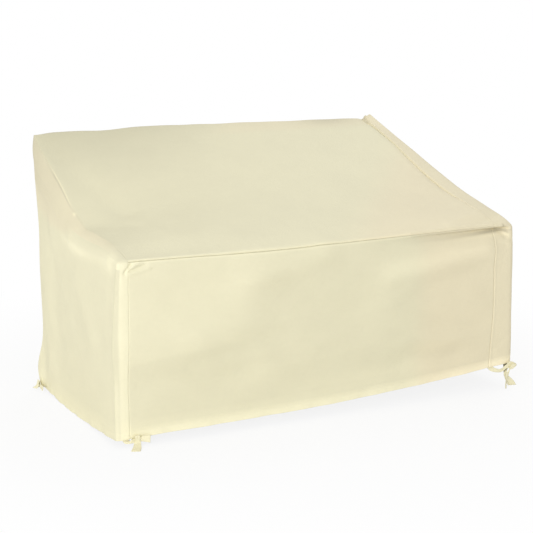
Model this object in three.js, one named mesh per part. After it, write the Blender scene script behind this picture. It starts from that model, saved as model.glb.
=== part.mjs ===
import * as THREE from "three";

// Fitted cover for a two-seat garden bench, in millimetres.
// X runs along the bench, the front faces -Y and Z is up. The cloth and the ties are shaped above
// the ground first. The finished cover then moves, so that its origin is where the top rail of a
// bench holds it, just under the ridge of the back.

// Driving dimensions.
const HEM_LENGTH = 1500; // between the side panels, at the hem
const TOP_DEPTH = 900; // from the front panel to the ridge of the back
const BOX_HEIGHT = 700; // height of the straight box that is draped into the cover's shape
const CLOTH = 2.2; // thickness of the coated cloth with its seam allowances
const SEAM_GAP = 0.3; // between two panels along a seam
const LEFT_STRIP = 42; // how far the left side panel wraps round the front corner
const RIGHT_STRIP = 109; // the same on the right, because the cover sits further to the left
const ROUND = { x: 30, y: 13, z: 17 }; // how softly the edges of the cover are rounded
const HOLD = { y: 886, z: 872 }; // where a bench's top rail holds the cover, above the ground
const HEM_BAND = 32; // width of the cloth turned up at the hem
const TAPE = 1.6; // thickness of the tie tape
const GROUND_GAP = 0.3; // between the ground and a tape that lies on it
const CELLS = { along: 20, strip: 2, deep: 12, high: 10 }; // cells of the cloth between its seams
const TAPE_STEPS = 2; // steps along a tape from one row of its table to the next

// Height of the cover's top above the ground, from the front edge to the ridge. The left arm of the
// bench holds the cover in a kink, and the right side is stretched almost straight.
const SLOPE = [
  { depth: 0, leftRim: 583, leftSeam: 583, middle: 583, rightSeam: 583, rightRim: 583 },
  { depth: 30, leftRim: 590, leftSeam: 589, middle: 595, rightSeam: 600, rightRim: 597 },
  { depth: 140, leftRim: 602, leftSeam: 610, middle: 635, rightSeam: 638, rightRim: 629 },
  { depth: 260, leftRim: 602, leftSeam: 619, middle: 675, rightSeam: 667, rightRim: 663 },
  { depth: 420, leftRim: 612, leftSeam: 632, middle: 727, rightSeam: 724, rightRim: 716 },
  { depth: 520, leftRim: 634, leftSeam: 663, middle: 760, rightSeam: 765, rightRim: 753 },
  { depth: 640, leftRim: 668, leftSeam: 724, middle: 800, rightSeam: 812, rightRim: 801 },
  { depth: 780, leftRim: 705, leftSeam: 803, middle: 847, rightSeam: 856, rightRim: 858 },
  { depth: 900, leftRim: 745, leftSeam: 892, middle: 893, rightSeam: 889, rightRim: 906 },
];

// How far the front edge of the seat sinks between the two side panels.
const FRONT_SAG = [
  { x: -708, sag: 0 },
  { x: -500, sag: 3 },
  { x: -250, sag: 10.5 },
  { x: 0, sag: 6.5 },
  { x: 200, sag: 3.8 },
  { x: 400, sag: 2 },
  { x: 641, sag: 0 },
];
const SAG_REACH = 100;

// Plan of the cover at each height: how far it reaches to the left and right, the width of each
// side panel's strip on the front and top, and the depth of the back, which leans out above the
// waist and flares at the hem.
const WALLS = [
  { height: 0, left: 751, leftStrip: 42, right: 748, rightStrip: 104, depth: 750 },
  { height: 60, left: 753, leftStrip: 42, right: 748, rightStrip: 103, depth: 740 },
  { height: 130, left: 753, leftStrip: 42, right: 747, rightStrip: 99, depth: 718 },
  { height: 230, left: 753, leftStrip: 42, right: 745, rightStrip: 89, depth: 704 },
  { height: 420, left: 749, leftStrip: 42, right: 742, rightStrip: 86, depth: 727 },
  { height: 578, left: 738, leftStrip: 35, right: 735, rightStrip: 82, depth: 756 },
  { height: 680, left: 725, leftStrip: 29, right: 724, rightStrip: 87, depth: 814 },
  { height: 780, left: 715, leftStrip: 24, right: 713, rightStrip: 75, depth: 882 },
  { height: 828, left: 717, leftStrip: 22, right: 708, rightStrip: 60, depth: 906 },
  { height: 887, left: 718, leftStrip: 18, right: 699, rightStrip: 38, depth: 900 },
];

// Height of the hem above the ground, along the front and the back.
const HEM = [
  { x: -750, front: 22, back: 20 },
  { x: -640, front: 27, back: 24 },
  { x: -370, front: 31, back: 30 },
  { x: -100, front: 35, back: 36 },
  { x: 270, front: 52, back: 46 },
  { x: 750, front: 85, back: 60 },
];
const LEFT_HEM_SAG = 20; // how far the hem hangs lower at the middle of the left side
const FLARE = { rise: 10, height: 130, end: 600, fade: 30 }; // the front opens a little at the hem

// The front is tucked in under the edge of the seat, more and more towards the right, where the
// cover is wider than the bench. It starts at one place and is deepest at another, at the corner.
const TUCK = { start: 20, deepest: 640, end: 715, fade: 6, rise: -20, under: 14, reach: [12, 52] };

// The main folds, as soft ridges and troughs that run between two places on the straight box.
const FOLDS = [
  { from: [-40, 0, 665], to: [-290, 0, 590], width: 60, rise: 9 }, // front, under the top seam
  { from: [-300, 0, 600], to: [-350, 0, 430], width: 130, rise: 12 }, // front, down to the left
  { from: [-350, 0, 410], to: [-470, 0, 350], width: 80, rise: 8 }, // front, further down
  { from: [-470, 0, 345], to: [-680, 0, 325], width: 65, rise: 7 }, // front, to the left seam
  { from: [-640, 0, 210], to: [-340, 0, 190], width: 80, rise: -8 }, // front, slack lower left
  { from: [-150, 0, 480], to: [60, 0, 380], width: 110, rise: -9 }, // front, slack middle
  { from: [240, 0, 505], to: [630, 0, 605], width: 50, rise: 10 }, // front, pull at the right seam
  { from: [260, 0, 420], to: [600, 0, 520], width: 50, rise: -6 }, // front, below the pull
  { from: [190, 0, 150], to: [520, 0, 100], width: 50, rise: -7 }, // front, slack lower right
  { from: [-600, 900, 700], to: [-500, 900, 700], width: 80, rise: -4 }, // ridge, left
  { from: [-290, 900, 700], to: [-110, 900, 700], width: 90, rise: 5 }, // ridge, middle
  { from: [520, 900, 700], to: [640, 900, 700], width: 80, rise: -4 }, // ridge, right
  { from: [-700, 880, 700], to: [-560, 420, 700], width: 50, rise: -6 }, // slope, from the left corner
  { from: [-680, 380, 700], to: [-580, 290, 700], width: 60, rise: -4 }, // slope, at the left arm
  { from: [-300, 60, 700], to: [560, 60, 700], width: 50, rise: 3 }, // slope, along the front edge
  { from: [-750, 560, 672], to: [-750, 80, 676], width: 50, rise: 9 }, // left side, along the arm
  { from: [-750, 360, 560], to: [-750, 210, 360], width: 70, rise: 4 }, // left side, below the arm
  { from: [-750, 640, 420], to: [-750, 600, 160], width: 100, rise: -7 }, // left side, slack rear
  { from: [750, 130, 560], to: [750, 420, 130], width: 90, rise: 6 }, // right side, front
  { from: [750, 520, 480], to: [750, 600, 140], width: 80, rise: -5 }, // right side, rear
  { from: [-560, 900, 610], to: [-260, 900, 180], width: 110, rise: 7 }, // back, left
  { from: [540, 900, 600], to: [330, 900, 160], width: 110, rise: 7 }, // back, right
  { from: [-100, 900, 560], to: [60, 900, 220], width: 130, rise: -6 }, // back, middle
];

const half = HEM_LENGTH / 2;
const leftSeam = -half + LEFT_STRIP;
const rightSeam = half - RIGHT_STRIP;
const { clamp, lerp, mapLinear } = THREE.MathUtils;

// Reads a table of rows at a value of its first column, smoothly, as an object of its columns.
function tableReader(rows) {
  const [key, ...columns] = Object.keys(rows[0]);
  const places = rows.map((row) => row[key]);
  const values = rows.flatMap((row) => columns.map((column) => row[column]));
  const curve = new THREE.CubicInterpolant(places, values, columns.length);
  return (place) => {
    const found = curve.evaluate(clamp(place, places[0], places.at(-1)));
    return Object.fromEntries(columns.map((column, i) => [column, found[i]]));
  };
}

const slopeAt = tableReader(SLOPE);
const sagAt = tableReader(FRONT_SAG);
const wallAt = tableReader(WALLS);
const hemAt = tableReader(HEM);

// Height of the top above the ground, over a point of the box.
function topHeight(x, y) {
  const row = slopeAt(y);
  if (x < leftSeam) {
    return mapLinear(x, -half, leftSeam, row.leftRim, row.leftSeam);
  }
  if (x > rightSeam) {
    return mapLinear(x, rightSeam, half, row.rightSeam, row.rightRim);
  }
  const across = (x - leftSeam) / (rightSeam - leftSeam);
  const leftPull = (row.leftSeam - row.middle) * (1 - across) ** 3;
  const rightPull = (row.rightSeam - row.middle) * across ** 3;
  const sag = sagAt(x).sag * Math.exp(-((y / SAG_REACH) ** 2));
  return row.middle + leftPull + rightPull - sag;
}

// Height of the hem above the ground, below a point of the box.
function hemHeight(x, y) {
  const row = hemAt(x);
  const back = y / TOP_DEPTH;
  const sag = LEFT_HEM_SAG * 4 * back * (1 - back) * ((half - x) / HEM_LENGTH);
  return lerp(row.front, row.back, back) - sag;
}

// Takes a point of the straight box to its place on the draped cover.
function drape({ x, y, z }) {
  const top = topHeight(x, y);
  const shoulder = BOX_HEIGHT - ROUND.z;
  const onWall = mapLinear(z, 0, shoulder, hemHeight(x, y), top - ROUND.z);
  const height = z > shoulder ? top - (BOX_HEIGHT - z) : onWall;
  const wall = wallAt(height);
  const left = -wall.left + wall.leftStrip;
  const right = wall.right - wall.rightStrip;
  let along = mapLinear(x, leftSeam, rightSeam, left, right);
  if (x < leftSeam) {
    along = mapLinear(x, -half, leftSeam, -wall.left, left);
  } else if (x > rightSeam) {
    along = mapLinear(x, rightSeam, half, right, wall.right);
  }
  const pulledIn = (TOP_DEPTH - wall.depth) * (y / TOP_DEPTH) ** 3;
  return new THREE.Vector3(along, y - pulledIn, height);
}

// How far the front is drawn in under the edge of the seat at a place on the box.
function tuckRise({ x, y, z }) {
  if (y > 0) {
    return 0;
  }
  const drawn = clamp((x - TUCK.start) / (TUCK.deepest - TUCK.start), 0, 1);
  const below = BOX_HEIGHT - z;
  const reach = lerp(...TUCK.reach, drawn);
  const turnedIn = 1 - Math.exp(-((below / TUCK.under) ** 2));
  const comesOut = Math.exp(-((below / reach) ** 1.4));
  const ends = 1 / (1 + Math.exp((x - TUCK.end) / TUCK.fade));
  return TUCK.rise * drawn ** 1.4 * turnedIn * comesOut * ends;
}

// How far the cloth stands out from the straight box at a place on it.
function clothRise(place) {
  let rise = tuckRise(place);
  if (place.y === 0 && place.z < FLARE.height) {
    const ends = 1 / (1 + Math.exp((Math.abs(place.x) - FLARE.end) / FLARE.fade));
    rise += FLARE.rise * (1 - place.z / FLARE.height) ** 2 * ends;
  }
  for (const fold of FOLDS) {
    const crest = new THREE.Line3(new THREE.Vector3(...fold.from), new THREE.Vector3(...fold.to));
    const nearest = crest.closestPointToPoint(place, true, new THREE.Vector3());
    rise += fold.rise * Math.exp(-((nearest.distanceTo(place) / fold.width) ** 2));
  }
  return rise;
}

// A point of the cloth: on a face of the straight box, moved in to the rounded edge, lifted by the
// folds or sunk into the thickness of the cloth, and draped.
function clothPoint(place, sunk) {
  const core = new THREE.Vector3(
    clamp(place.x, -half + ROUND.x, half - ROUND.x),
    clamp(place.y, ROUND.y, TOP_DEPTH - ROUND.y),
    Math.min(place.z, BOX_HEIGHT - ROUND.z),
  );
  const out = place.clone().sub(core).divide(ROUND).normalize();
  const lift = clothRise(place) - sunk;
  core.x += out.x * (ROUND.x + lift);
  core.y += out.y * (ROUND.y + lift);
  core.z += out.z * (ROUND.z + lift);
  return drape(core);
}

// Lines of the grid on the box. A rounded edge has one line more, half way round to the face.
const HALF_TURN = 1 - Math.tan(Math.PI / 8);

function evenLines(from, to, steps) {
  return Array.from({ length: steps + 1 }, (_, i) => lerp(from, to, i / steps));
}

const xLines = {
  left: [-half, -half + ROUND.x * HALF_TURN, -half + ROUND.x, leftSeam - SEAM_GAP / 2],
  middle: evenLines(leftSeam + SEAM_GAP / 2, rightSeam - SEAM_GAP / 2, CELLS.along),
  right: [
    ...evenLines(rightSeam + SEAM_GAP / 2, half - ROUND.x, CELLS.strip),
    half - ROUND.x * HALF_TURN,
    half,
  ],
};
const yLines = [
  0,
  ROUND.y * HALF_TURN,
  ...evenLines(ROUND.y, TOP_DEPTH - ROUND.y, CELLS.deep),
  TOP_DEPTH - ROUND.y * HALF_TURN,
  TOP_DEPTH,
];
const zLines = [
  0,
  ...evenLines(HEM_BAND, BOX_HEIGHT - ROUND.z, CELLS.high),
  BOX_HEIGHT - ROUND.z * HALF_TURN,
  BOX_HEIGHT,
];

// Panels that meet at an edge of the box stop a little short of it.
const zLinesToSeam = [...zLines.slice(0, -1), BOX_HEIGHT - SEAM_GAP];
const yLinesToSeams = [SEAM_GAP, ...yLines.slice(1, -1), TOP_DEPTH - SEAM_GAP];

// Cells between the lines of one face, each with its four corners anticlockwise from outside.
function faceCells(uLines, vLines, place) {
  const cells = [];
  for (let i = 1; i < uLines.length; i += 1) {
    for (let j = 1; j < vLines.length; j += 1) {
      cells.push([
        place(uLines[i - 1], vLines[j - 1]),
        place(uLines[i], vLines[j - 1]),
        place(uLines[i], vLines[j]),
        place(uLines[i - 1], vLines[j]),
      ]);
    }
  }
  return cells;
}

const reversed = (lines) => [...lines].reverse();
const onFront = (x, z) => new THREE.Vector3(x, 0, z);
const onTop = (x, y) => new THREE.Vector3(x, y, BOX_HEIGHT);
const onBack = (x, z) => new THREE.Vector3(x, TOP_DEPTH, z);
const onLeft = (y, z) => new THREE.Vector3(-half, y, z);
const onRight = (y, z) => new THREE.Vector3(half, y, z);

// A closed sheet from its cells: the outer face, the inner face and the cut edge all round.
function sheetGeometry(cells) {
  const numbers = new Map();
  const positions = [];
  const triangles = [];
  const edges = new Map();
  const numberOf = (place) => {
    const key = place.toArray().map((value) => value.toFixed(3)).join();
    if (!numbers.has(key)) {
      numbers.set(key, numbers.size);
      positions.push(...clothPoint(place, 0), ...clothPoint(place, CLOTH));
    }
    return 2 * numbers.get(key);
  };
  for (const cell of cells) {
    const [a, b, c, d] = cell.map(numberOf);
    triangles.push(a, b, c, a, c, d);
    triangles.push(c + 1, b + 1, a + 1, d + 1, c + 1, a + 1);
    for (const [from, to] of [[a, b], [b, c], [c, d], [d, a]]) {
      edges.set(`${from} ${to}`, [from, to]);
    }
  }
  for (const [from, to] of edges.values()) {
    if (!edges.has(`${to} ${from}`)) {
      triangles.push(to, from, from + 1, to, from + 1, to + 1);
    }
  }
  const geometry = new THREE.BufferGeometry();
  geometry.setAttribute("position", new THREE.Float32BufferAttribute(positions, 3));
  geometry.setIndex(triangles);
  return geometry;
}

const COATED_CLOTH = { color: 0xeae3c5, roughness: 0.62, metalness: 0 };
const COTTON_TAPE = { color: 0xf6efcb, roughness: 0.85, metalness: 0 };
const cover = new THREE.Group();
cover.position.set(0, -HOLD.y, -HOLD.z);

function addMesh(name, geometry, finish) {
  const made = new THREE.Mesh(geometry, new THREE.MeshStandardMaterial(finish));
  made.name = name;
  cover.add(made);
}

function addPanel(name, cells) {
  addMesh(name, sheetGeometry(cells), COATED_CLOTH);
}

// Front panel, from the hem to the front edge.
addPanel("panel_front", faceCells(xLines.middle, zLinesToSeam, onFront));

// Seat and back panel, in one slope from the front edge to the ridge.
addPanel("panel_slope", faceCells(xLines.middle, yLinesToSeams, onTop));

// Back panel, from the hem to the ridge.
addPanel("panel_back", faceCells(reversed(xLines.middle), zLinesToSeam, onBack));

// Side panels, each cut to the profile and wrapped round on to the front, the top and the back.
function wrappedCells(strip) {
  return [
    ...faceCells(strip, zLines, onFront),
    ...faceCells(strip, yLines, onTop),
    ...faceCells(reversed(strip), zLines, onBack),
  ];
}

const leftSide = faceCells(reversed(yLines), zLines, onLeft);
const rightSide = faceCells(yLines, zLines, onRight);
addPanel("panel_side_left", [...wrappedCells(xLines.left), ...leftSide]);
addPanel("panel_side_right", [...wrappedCells(xLines.right), ...rightSide]);

// Ties: two tapes at each corner, sewn inside the hem and crossed in a half knot round the leg.
// A row is a place on the middle of the tape and the vector from there to its edge. Places are
// counted from the hem's inner face at a point of the box, and the first from the hem's stitches.
const FRONT_LEFT_LONG = {
  hem: [-690, 0, 0],
  rows: [
    { at: [0, 1.7, 0], edge: [12, 0, 0] },
    { at: [0, 1.7, 1], edge: [12, 0, 0] },
    { at: [0, 0.6, -4.4], edge: [12, 0, 0] },
    { at: [1, -5, -5.6], edge: [10, 0, 0] },
    { at: [2, -8.8, 1], edge: [8, 0, 0] },
    { at: [2, -9.4, 8], edge: [8, 0, 0] },
    { at: [2, -11.8, 11], edge: [8, 0, 0] },
    { at: [2, -14.2, 8], edge: [8, 0, 0] },
    { at: [2, -14.8, -2], edge: [9, 0, 0] },
    { at: [0, -16, -12], edge: [12, 0, 1] },
    { at: [-4, -25, -16], edge: [12, -2, 1] },
    { at: [-10, -37, -20], edge: [13, -4, 0] },
    { at: [-22, -55, -23.5], edge: [13, -6, 0] },
  ],
};
const FRONT_LEFT_SHORT = {
  hem: [-722, 0, 0],
  rows: [
    { at: [0, 2.8, 0], edge: [10, -1.5, 0] },
    { at: [0, 2.8, 1], edge: [10, -1.5, 0] },
    { at: [1.5, -0.5, -4.5], edge: [10, -1, 1] },
    { at: [5.5, -6, -6.5], edge: [8, -1, 4] },
    { at: [11, -10.8, -4.5], edge: [4, -1, 6] },
    { at: [18, -11.9, -3], edge: [1, 0, 6.5] },
    { at: [29, -12.1, -2], edge: [0, 0, 5] },
    { at: [42, -12.4, -1], edge: [0, 0, 6] },
    { at: [54, -14.4, 0.5], edge: [0, 2, 9] },
    { at: [74, -19.4, -1.5], edge: [2, 3, 11] },
  ],
};
const FRONT_RIGHT_LONG = {
  hem: [650, 0, 0],
  rows: [
    { at: [0, 1.7, 0], edge: [12, 0, 0] },
    { at: [0, 1.7, 1], edge: [12, 0, 0] },
    { at: [1, -0.5, -4], edge: [11, 0, 2] },
    { at: [7, -6, -9], edge: [8, 0, 5] },
    { at: [20, -10, -13], edge: [3, 0, 6] },
    { at: [36, -11, -15], edge: [0, 0, 6] },
    { at: [51, -11, -10], edge: [-1, 0, 6] },
    { at: [62, -12, -3], edge: [-1, 0, 7] },
    { at: [74, -12.5, 1], edge: [0, 0, 12] },
    { at: [88, -12.5, 2], edge: [0, 0, 9] },
    { at: [98, -13, 1], edge: [0, 0, 4] },
    { at: [100.5, -15.5, 0], edge: [0, 0, 3] },
    { at: [98, -18, -1], edge: [0, 0, 4] },
    { at: [85, -18.5, -3], edge: [0, 0, 9] },
    { at: [71, -19.5, -8], edge: [4, 0, 8] },
    { at: [62, -20.5, -24], edge: [6, 0, 3] },
    { at: [58, -21, -42], edge: [5, 3, 0] },
    { at: [54, -22, -60], edge: [4, 3, 0] },
    { at: [51, -26, -76], edge: [4, 3, 0] },
    { at: [49, -30, -83], edge: [4, 3, 0] },
  ],
};
const FRONT_RIGHT_SHORT = {
  hem: [750, 36, 0],
  rows: [
    { at: [-1.7, 0, 0], edge: [0, 12, 0] },
    { at: [-1.7, 0, 1], edge: [0, 12, 0] },
    { at: [-4, -4, -10], edge: [0, 12, -2] },
    { at: [-15, -22, -19], edge: [-3, 9, -4] },
    { at: [-26, -36, -26], edge: [-5, 4, -5] },
    { at: [-31, -41, -36], edge: [-6, 1, -2] },
    { at: [-26, -43, -48], edge: [-8, 1, -2] },
    { at: [-11, -43, -67], edge: [-13, 3, -3] },
    { at: [4, -40, -87], edge: [-14, 4, -2] },
  ],
};

// The back ties. On the right both are the front ones mirrored.
const BACK_LEFT_LONG = {
  hem: [-750, 845, 0],
  rows: [
    { at: [1.7, 0, 0], edge: [0, -12, 0] },
    { at: [1.7, 0, 1], edge: [0, -12, 0] },
    { at: [0.6, 0, -4.4], edge: [0, -12, 0] },
    { at: [-5, -1, -5.6], edge: [0, -10, 0] },
    { at: [-8.8, -2, 1], edge: [0, -8, 0] },
    { at: [-9.6, -2, 12], edge: [0, -8, 0] },
    { at: [-12, -2, 20], edge: [0, -8, 0] },
    { at: [-14.6, -1, 12], edge: [0, -8, 0] },
    { at: [-16, 0, 2], edge: [1, -9, 0] },
    { at: [-20, 3, -5], edge: [3, -10, 0] },
    { at: [-26, 6, -9], edge: [4, -10, 0] },
  ],
};
const BACK_LEFT_SHORT = {
  hem: [-714, 900, 0],
  rows: [
    { at: [0, -1.7, 0], edge: [12, 0, 0] },
    { at: [0, -1.7, 1], edge: [12, 0, 0] },
    { at: [-3, -2, -10], edge: [12, 0, 1] },
    { at: [-20, -5, -15], edge: [8, -5, 2] },
    { at: [-34, -8, -15], edge: [5, -4, 3] },
    { at: [-43, -11, -11], edge: [2, -1, 5] },
    { at: [-46.2, -16, -5], edge: [0, 0, 5] },
    { at: [-46.4, -23, -3], edge: [0, 0, 4.5] },
    { at: [-46.3, -36, -3], edge: [0, 0, 5] },
    { at: [-48, -56, -2], edge: [1, 0, 7] },
    { at: [-50, -80, -4], edge: [2, -2, 8] },
  ],
};
const BACK_RIGHT_LONG = {
  hem: [650, 900, 0],
  rows: mirroredRows(FRONT_RIGHT_LONG.rows),
};
const BACK_RIGHT_SHORT = {
  hem: [750, 830, 0],
  rows: mirroredRows(FRONT_RIGHT_SHORT.rows),
};

// Rows for the back, from those for the front.
function mirroredRows(rows) {
  return rows.map(({ at: [x, y, z], edge: [a, b, c] }) => ({ at: [x, -y, z], edge: [a, -b, c] }));
}

// A flat strip of tape through its rows, with square ends. The ground lifts what would sink into it.
function tapeGeometry({ hem, rows }) {
  const below = clothPoint(new THREE.Vector3(...hem), CLOTH);
  const stitches = clothPoint(new THREE.Vector3(hem[0], hem[1], HEM_BAND), CLOTH);
  const places = rows.map((row, i) => new THREE.Vector3(...row.at).add(i ? below : stitches));
  const path = new THREE.CatmullRomCurve3(places);
  const edges = new THREE.CatmullRomCurve3(rows.map((row) => new THREE.Vector3(...row.edge)));
  const steps = TAPE_STEPS * (rows.length - 1);
  const positions = [];
  const triangles = [];
  for (let i = 0; i <= steps; i += 1) {
    const at = path.getPoint(i / steps);
    const run = path.getTangent(i / steps);
    const edge = edges.getPoint(i / steps);
    const face = run.clone().cross(edge).setLength(TAPE / 2);
    const lowest = at.z - Math.abs(edge.z) - Math.abs(face.z);
    at.z += Math.max(0, GROUND_GAP - lowest);
    for (const [side, level] of [[1, 1], [-1, 1], [-1, -1], [1, -1]]) {
      positions.push(...at.clone().addScaledVector(edge, side).addScaledVector(face, level));
    }
  }
  for (let i = 0; i < steps; i += 1) {
    for (let corner = 0; corner < 4; corner += 1) {
      const a = 4 * i + corner;
      const b = 4 * i + ((corner + 1) % 4);
      triangles.push(a, b, b + 4, a, b + 4, a + 4);
    }
  }
  const end = 4 * steps;
  triangles.push(0, 2, 1, 0, 3, 2, end, end + 1, end + 2, end, end + 2, end + 3);
  const geometry = new THREE.BufferGeometry();
  geometry.setAttribute("position", new THREE.Float32BufferAttribute(positions, 3));
  geometry.setIndex(triangles);
  return geometry;
}

const TIES = {
  tie_front_left_long: FRONT_LEFT_LONG,
  tie_front_left_short: FRONT_LEFT_SHORT,
  tie_front_right_long: FRONT_RIGHT_LONG,
  tie_front_right_short: FRONT_RIGHT_SHORT,
  tie_back_left_long: BACK_LEFT_LONG,
  tie_back_left_short: BACK_LEFT_SHORT,
  tie_back_right_long: BACK_RIGHT_LONG,
  tie_back_right_short: BACK_RIGHT_SHORT,
};
for (const [name, tie] of Object.entries(TIES)) {
  addMesh(name, tapeGeometry(tie), COTTON_TAPE);
}

const group = new THREE.Group();
group.add(cover);
export default group;
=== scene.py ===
# A fitted cover for a two-seat garden bench, in cream coated cloth, knotted round the bench's legs
# with pale tapes. Everything is in metres, in the frame of the cover's construction: X runs along
# the bench, the front faces -Y, and the origin is under the ridge of the back.
import math

import bmesh
import bpy
import numpy as np
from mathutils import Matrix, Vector


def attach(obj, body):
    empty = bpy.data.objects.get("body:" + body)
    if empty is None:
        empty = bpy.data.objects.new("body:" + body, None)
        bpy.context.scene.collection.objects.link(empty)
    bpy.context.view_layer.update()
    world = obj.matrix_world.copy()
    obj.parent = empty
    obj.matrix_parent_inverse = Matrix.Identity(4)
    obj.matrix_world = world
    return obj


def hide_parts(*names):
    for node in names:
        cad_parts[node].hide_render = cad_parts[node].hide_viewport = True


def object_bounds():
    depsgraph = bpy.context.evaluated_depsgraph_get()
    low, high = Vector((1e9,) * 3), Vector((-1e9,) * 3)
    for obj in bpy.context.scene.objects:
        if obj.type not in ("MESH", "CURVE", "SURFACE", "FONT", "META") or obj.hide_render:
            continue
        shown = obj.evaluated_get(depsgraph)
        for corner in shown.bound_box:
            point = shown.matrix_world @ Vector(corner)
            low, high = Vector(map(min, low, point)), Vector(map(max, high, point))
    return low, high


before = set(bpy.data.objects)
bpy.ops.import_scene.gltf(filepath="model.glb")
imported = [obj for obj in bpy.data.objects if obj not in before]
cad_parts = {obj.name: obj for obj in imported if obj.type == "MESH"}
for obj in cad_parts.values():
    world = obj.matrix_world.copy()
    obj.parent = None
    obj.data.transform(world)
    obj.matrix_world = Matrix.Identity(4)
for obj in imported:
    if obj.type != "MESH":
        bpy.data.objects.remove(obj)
construction_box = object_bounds()
ground = construction_box[0].z - 0.0003


# --- Camera ---------------------------------------------------------------------------------------
# It stands in front and to the left, a little above the top of the cover.
camera_data = bpy.data.cameras.new("camera")
camera_data.lens = 90.57
camera_data.sensor_width = 36.0
camera = bpy.data.objects.new("camera", camera_data)
bpy.context.scene.collection.objects.link(camera)
bpy.context.scene.camera = camera
camera_turn, camera_drop = math.radians(-27.5), math.radians(11.4)
looking = Vector((
    -math.sin(camera_turn) * math.cos(camera_drop),
    math.cos(camera_turn) * math.cos(camera_drop),
    -math.sin(camera_drop),
))
camera.location = (-2.1569, -4.5740, 0.4888)
camera.rotation_mode = "QUATERNION"
camera.rotation_quaternion = looking.to_track_quat("-Z", "Y")


# --- Shader maths ---------------------------------------------------------------------------------
# The first surface that needs it is the floor. A Value is a number that varies over a surface, and
# ordinary arithmetic on it adds Math nodes.
class Value:
    def __init__(self, shader, link):
        self.shader = shader
        self.link = link

    def maths(self, operation, first, second):
        made = self.shader.add("ShaderNodeMath", {"operation": operation}, {0: first, 1: second})
        return made[0]

    def __add__(self, other):
        return self.maths("ADD", self, other)

    def __radd__(self, other):
        return self.maths("ADD", other, self)

    def __sub__(self, other):
        return self.maths("SUBTRACT", self, other)

    def __rsub__(self, other):
        return self.maths("SUBTRACT", other, self)

    def __mul__(self, other):
        return self.maths("MULTIPLY", self, other)

    def __rmul__(self, other):
        return self.maths("MULTIPLY", other, self)

    def wave(self, period):
        return self.maths("SINE", self * (2 * math.pi / period), 0.0)


class Shader:
    """The nodes of one material or world."""

    def __init__(self, owner):
        owner.use_nodes = True
        self.tree = owner.node_tree
        self.tree.nodes.clear()

    def add(self, kind, settings=None, inputs=None):
        """A node of a kind: its settings first, then the values or links of its sockets."""
        node = self.tree.nodes.new(kind)
        for name, setting in (settings or {}).items():
            setattr(node, name, setting)
        for name, value in (inputs or {}).items():
            if isinstance(value, Value):
                self.tree.links.new(value.link, node.inputs[name])
            else:
                node.inputs[name].default_value = value
        return [Value(self, socket) for socket in node.outputs]


# --- Floor and background -------------------------------------------------------------------------
# A plain white floor that keeps the cover's soft shadow and runs into a white background.
floor_mesh = bpy.data.meshes.new("floor")
shape = bmesh.new()
bmesh.ops.create_circle(shape, cap_ends=True, radius=60.0, segments=96)
bmesh.ops.translate(shape, verts=shape.verts, vec=(0, 0, ground))
shape.to_mesh(floor_mesh)
shape.free()
floor = bpy.data.objects.new("floor", floor_mesh)
bpy.context.scene.collection.objects.link(floor)

floor_paint = bpy.data.materials.new("floor_paint")
shader = Shader(floor_paint)
seen = shader.add("ShaderNodeLightPath")[0]
place = shader.add("ShaderNodeTexCoord")[3]
under_cover = (0, -0.45, ground)
away = shader.add("ShaderNodeVectorMath", {"operation": "DISTANCE"}, {0: place, 1: under_cover})[1]
near = shader.add(
    "ShaderNodeMapRange",
    {"interpolation_type": "SMOOTHSTEP"},
    {"Value": away, "From Min": 0.7, "From Max": 1.9, "To Min": 0.13, "To Max": 0.0},
)[0]
matte = shader.add("ShaderNodeBsdfDiffuse", None, {"Color": (0.88, 0.88, 0.88, 1)})[0]
white = shader.add("ShaderNodeEmission", None, {"Color": (1, 1, 1, 1), "Strength": 1.0})[0]
whitened = shader.add("ShaderNodeMixShader", None, {0: seen * (1 - near), 1: matte, 2: white})[0]
shader.add("ShaderNodeOutputMaterial", None, {"Surface": whitened})
floor_mesh.materials.append(floor_paint)

studio = bpy.data.worlds.new("studio")
bpy.context.scene.world = studio
shader = Shader(studio)
rays = shader.add("ShaderNodeLightPath")
ambient = shader.add("ShaderNodeBackground", None, {"Color": (1, 1, 1, 1), "Strength": 0.66})[0]
backdrop = shader.add("ShaderNodeBackground", None, {"Color": (1, 1, 1, 1), "Strength": 1.0})[0]
lit = shader.add("ShaderNodeMixShader", None, {0: rays[0], 1: ambient, 2: backdrop})[0]
shader.add("ShaderNodeOutputWorld", None, {"Surface": lit})
bpy.context.scene.view_settings.view_transform = "Standard"


# --- Studio lights --------------------------------------------------------------------------------
# A large soft lamp in front on the left, a weaker one high above, both neutral.
def add_lamp(name, place, aim, size, watts):
    data = bpy.data.lights.new(name, "AREA")
    data.shape = "SQUARE"
    data.size = size
    data.energy = watts
    lamp = bpy.data.objects.new(name, data)
    lamp.location = place
    lamp.rotation_mode = "QUATERNION"
    lamp.rotation_quaternion = (Vector(aim) - Vector(place)).to_track_quat("-Z", "Y")
    bpy.context.scene.collection.objects.link(lamp)


middle_of_cover = (0, -0.45, -0.45)
add_lamp("key_lamp", (-5.6, -6.0, 1.8), middle_of_cover, 3.0, 290)
add_lamp("back_lamp", (2.7, 1.4, 4.0), middle_of_cover, 2.5, 54)


# --- The shape of the cloth -----------------------------------------------------------------------
# Every panel is laid out on the faces of a straight box, and the box is draped over the bench: its
# edges are rounded, its folds rise and sink, and its top and walls follow the tables below.
LENGTH, DEPTH, HEIGHT = 1.5, 0.9, 0.7
ON_FACE = 1e-6  # a point this near a face of the box is on it
EDGE = np.array([0.030, 0.013, 0.017])  # how far its edges are rounded along x, y and z
HOLD = np.array([0, 0.886, 0.872])  # from the middle of the front, on the ground, to the origin
left_seam = -LENGTH / 2 + 0.042
right_seam = LENGTH / 2 - 0.109

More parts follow.
